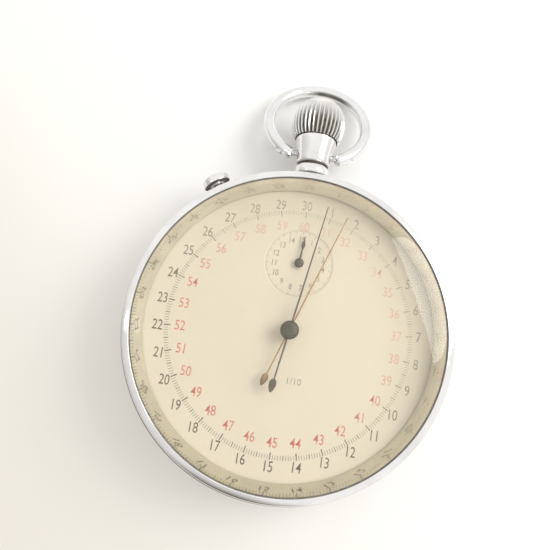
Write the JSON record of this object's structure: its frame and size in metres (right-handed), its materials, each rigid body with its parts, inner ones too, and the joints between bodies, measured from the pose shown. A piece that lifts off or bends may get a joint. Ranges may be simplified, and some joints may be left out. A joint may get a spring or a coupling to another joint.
{
  "type": "mechanical stopwatch",
  "caption": "Round pocket-style mechanical stopwatch lying on its flat back, with a fluted push crown in a swinging bow, a side split button, two long sweep hands and a minute register.",
  "frame": {"origin": "middle of the flat back face, which rests on the table", "axes": "+Z out of the dial towards the viewer, +Y towards 12 o'clock and the crown, +X towards 3 o'clock"},
  "size_m": [0.054, 0.075, 0.0159],
  "materials": {
    "case_chrome": "polished nickel chrome, lightly worn",
    "crown_chrome": "polished, fluted, tarnish in the flutes",
    "bow_chrome": "polished round wire",
    "acrylic": "clear aged acrylic, faintly yellow",
    "dial_paint": "cream matt dial paint",
    "dark_hand": "dark oxidised steel",
    "gilt_hand": "polished gilt",
    "nickel_plate": "fine grained nickel",
    "movement_brass": "gilt brass",
    "steel": "polished steel",
    "blued_steel": "heat blued steel"
  },
  "bodies": {
    "case": {"case_band": "case_chrome", "bezel": "case_chrome", "crystal": "acrylic", "back_cover": "case_chrome", "pendant": "case_chrome", "bow_screw_left": "steel", "bow_screw_right": "steel", "button_tube": "case_chrome", "dial": "dial_paint", "main_plate": "nickel_plate", "barrel_bridge": "nickel_plate", "train_bridge": "nickel_plate", "balance_cock": "nickel_plate", "barrel_bridge_screw_1": "blued_steel", "barrel_bridge_screw_2": "blued_steel", "barrel_bridge_screw_3": "blued_steel", "train_bridge_screw_1": "blued_steel", "train_bridge_screw_2": "blued_steel", "train_bridge_screw_3": "blued_steel", "train_bridge_screw_4": "blued_steel", "cock_screw": "blued_steel", "crown_wheel_post": "blued_steel", "click_spring": "steel", "hairspring": "blued_steel", "minute_jumper": "steel"},
    "push": {"push_sleeve": "steel"},
    "crown": {"crown": "crown_chrome", "winding_stem": "steel"},
    "winding_pinion": {"winding_pinion": "steel"},
    "crown_wheel": {"crown_wheel": "steel"},
    "ratchet": {"ratchet_wheel": "steel", "barrel_arbor": "steel"},
    "barrel": {"mainspring_barrel": "movement_brass", "barrel_lid": "movement_brass", "mainspring": "steel"},
    "second": {"second_wheel": "movement_brass"},
    "third": {"third_wheel": "movement_brass"},
    "fourth": {"fourth_wheel": "movement_brass"},
    "escape": {"escape_wheel": "steel"},
    "pallet": {"pallet_fork": "steel"},
    "balance": {"balance_wheel": "movement_brass"},
    "click": {"click": "steel"},
    "regulator": {"regulator": "steel"},
    "sweep": {"sweep_wheel": "movement_brass", "sweep_hand": "gilt_hand"},
    "split": {"split_wheel": "movement_brass", "split_hand": "dark_hand"},
    "transfer": {"transfer_wheel": "movement_brass"},
    "minute": {"minute_wheel": "movement_brass", "minute_hand": "dark_hand"},
    "column": {"column_wheel": "steel"},
    "operating": {"operating_lever": "steel"},
    "hammer": {"reset_hammer": "steel"},
    "clamp_left": {"split_clamp_left": "steel"},
    "clamp_right": {"split_clamp_right": "steel"},
    "split_lever": {"split_lever": "steel"},
    "split_button": {"split_button": "case_chrome"},
    "bow": {"bow": "bow_chrome"}
  },
  "joints": [
    {"name": "crown_push", "type": "slide", "parent": "case", "child": "push", "axis": [0, -1, 0], "range_m": [0, 0.0012], "stiffness_N_per_m": 900, "springref_m": -0.0006},
    {"name": "crown_turn", "type": "hinge", "parent": "push", "child": "crown", "pos_m": [0, 0.038, 0.0069], "axis": [0, 1, 0], "continuous": true},
    {"name": "winding_pinion_turn", "type": "hinge", "parent": "case", "child": "winding_pinion", "pos_m": [0, 0.0183, 0.0069], "axis": [0, 1, 0], "continuous": true},
    {"name": "crown_wheel_turn", "type": "hinge", "parent": "case", "child": "crown_wheel", "pos_m": [0, 0.0155, 0.00485], "axis": [0, 0, 1], "continuous": true},
    {"name": "ratchet_turn", "type": "hinge", "parent": "case", "child": "ratchet", "pos_m": [-0.0082, 0.0115, 0.00485], "axis": [0, 0, 1], "continuous": true},
    {"name": "barrel_turn", "type": "hinge", "parent": "case", "child": "barrel", "pos_m": [-0.0082, 0.0115, 0.0065], "axis": [0, 0, 1], "continuous": true},
    {"name": "second_wheel_turn", "type": "hinge", "parent": "case", "child": "second", "pos_m": [-0.01269, 0.00518, 0.0055], "axis": [0, 0, 1], "continuous": true},
    {"name": "third_wheel_turn", "type": "hinge", "parent": "case", "child": "third", "pos_m": [-0.00971, 0.00012, 0.0055], "axis": [0, 0, 1], "continuous": true},
    {"name": "fourth_wheel_turn", "type": "hinge", "parent": "case", "child": "fourth", "pos_m": [-0.00663, -0.00398, 0.0055], "axis": [0, 0, 1], "continuous": true},
    {"name": "escape_wheel_turn", "type": "hinge", "parent": "case", "child": "escape", "pos_m": [-0.00444, -0.00791, 0.0055], "axis": [0, 0, 1], "continuous": true},
    {"name": "pallet_swing", "type": "hinge", "parent": "case", "child": "pallet", "pos_m": [-0.00124, -0.00957, 0.0066], "axis": [0, 0, 1], "range_deg": [-8.1, 8.1]},
    {"name": "balance_swing", "type": "hinge", "parent": "case", "child": "balance", "pos_m": [0.0046, -0.0126, 0.005], "axis": [0, 0, 1], "range_deg": [-135, 135], "stiffness_Nm_per_rad": 0.000003},
    {"name": "click_swing", "type": "hinge", "parent": "case", "child": "click", "pos_m": [-0.0017, 0.0054, 0.00485], "axis": [0, 0, -1], "range_deg": [0, 5], "stiffness_Nm_per_rad": 0.0001, "springref_deg": -1.15},
    {"name": "regulator_swing", "type": "hinge", "parent": "case", "child": "regulator", "pos_m": [0.0046, -0.0126, 0.00265], "axis": [0, 0, 1], "range_deg": [-15, 15]},
    {"name": "sweep_turn", "type": "hinge", "parent": "case", "child": "sweep", "pos_m": [0, 0, 0.0119], "axis": [0, 0, 1], "continuous": true},
    {"name": "split_turn", "type": "hinge", "parent": "case", "child": "split", "pos_m": [0, 0, 0.0128], "axis": [0, 0, 1], "continuous": true},
    {"name": "transfer_turn", "type": "hinge", "parent": "case", "child": "transfer", "pos_m": [0, 0.006, 0.0027], "axis": [0, 0, 1], "continuous": true},
    {"name": "minute_turn", "type": "hinge", "parent": "case", "child": "minute", "pos_m": [0, 0.01096, 0.011], "axis": [0, 0, 1], "continuous": true},
    {"name": "column_wheel_turn", "type": "hinge", "parent": "case", "child": "column", "pos_m": [0.0075, 0.0125, 0.0026], "axis": [0, 0, 1], "continuous": true},
    {"name": "operating_swing", "type": "hinge", "parent": "case", "child": "operating", "pos_m": [0.0105, 0.0165, 0.0018], "axis": [0, 0, 1], "range_deg": [0, 8.1]},
    {"name": "hammer_swing", "type": "hinge", "parent": "case", "child": "hammer", "pos_m": [0.007, -0.004, 0.0024], "axis": [0, 0, 1], "range_deg": [0, 3]},
    {"name": "clamp_left_swing", "type": "hinge", "parent": "case", "child": "clamp_left", "pos_m": [-0.0046, -0.0044, 0.00165], "axis": [0, 0, -1], "range_deg": [0, 3.1]},
    {"name": "clamp_right_swing", "type": "hinge", "parent": "case", "child": "clamp_right", "pos_m": [0.0046, -0.0044, 0.00165], "axis": [0, 0, 1], "range_deg": [0, 3.1]},
    {"name": "split_lever_swing", "type": "hinge", "parent": "case", "child": "split_lever", "pos_m": [-0.0182, 0.0066, 0.0017], "axis": [0, 0, -1], "range_deg": [0, 5.1]},
    {"name": "split_push", "type": "slide", "parent": "case", "child": "split_button", "axis": [0.5621, -0.8271, 0], "range_m": [0, 0.001], "stiffness_N_per_m": 700, "springref_m": -0.0005},
    {"name": "bow_swing", "type": "hinge", "parent": "case", "child": "bow", "pos_m": [0, 0.0313, 0.0069], "axis": [1, 0, 0], "range_deg": [-95, 140]}
  ],
  "couplings": [
    {"joint": "winding_pinion_turn", "follows": "crown_turn", "ratio": 1},
    {"joint": "crown_wheel_turn", "follows": "crown_turn", "ratio": 0.5},
    {"joint": "ratchet_turn", "follows": "crown_turn", "ratio": -0.27027},
    {"joint": "second_wheel_turn", "follows": "third_wheel_turn", "ratio": -0.175},
    {"joint": "barrel_turn", "follows": "third_wheel_turn", "ratio": 0.025926},
    {"joint": "fourth_wheel_turn", "follows": "third_wheel_turn", "ratio": -4.8571},
    {"joint": "escape_wheel_turn", "follows": "third_wheel_turn", "ratio": 24.286},
    {"joint": "pallet_swing", "follows": "balance_swing", "ratio": 0.059259},
    {"joint": "transfer_turn", "follows": "sweep_turn", "ratio": -0.066667},
    {"joint": "minute_turn", "follows": "sweep_turn", "ratio": 0.033333},
    {"joint": "operating_swing", "follows": "crown_push", "rad_per_m": 116.36},
    {"joint": "split_lever_swing", "follows": "split_push", "rad_per_m": 87.266},
    {"joint": "clamp_left_swing", "follows": "split_push", "rad_per_m": 52.36},
    {"joint": "clamp_right_swing", "follows": "split_push", "rad_per_m": 52.36}
  ]
}
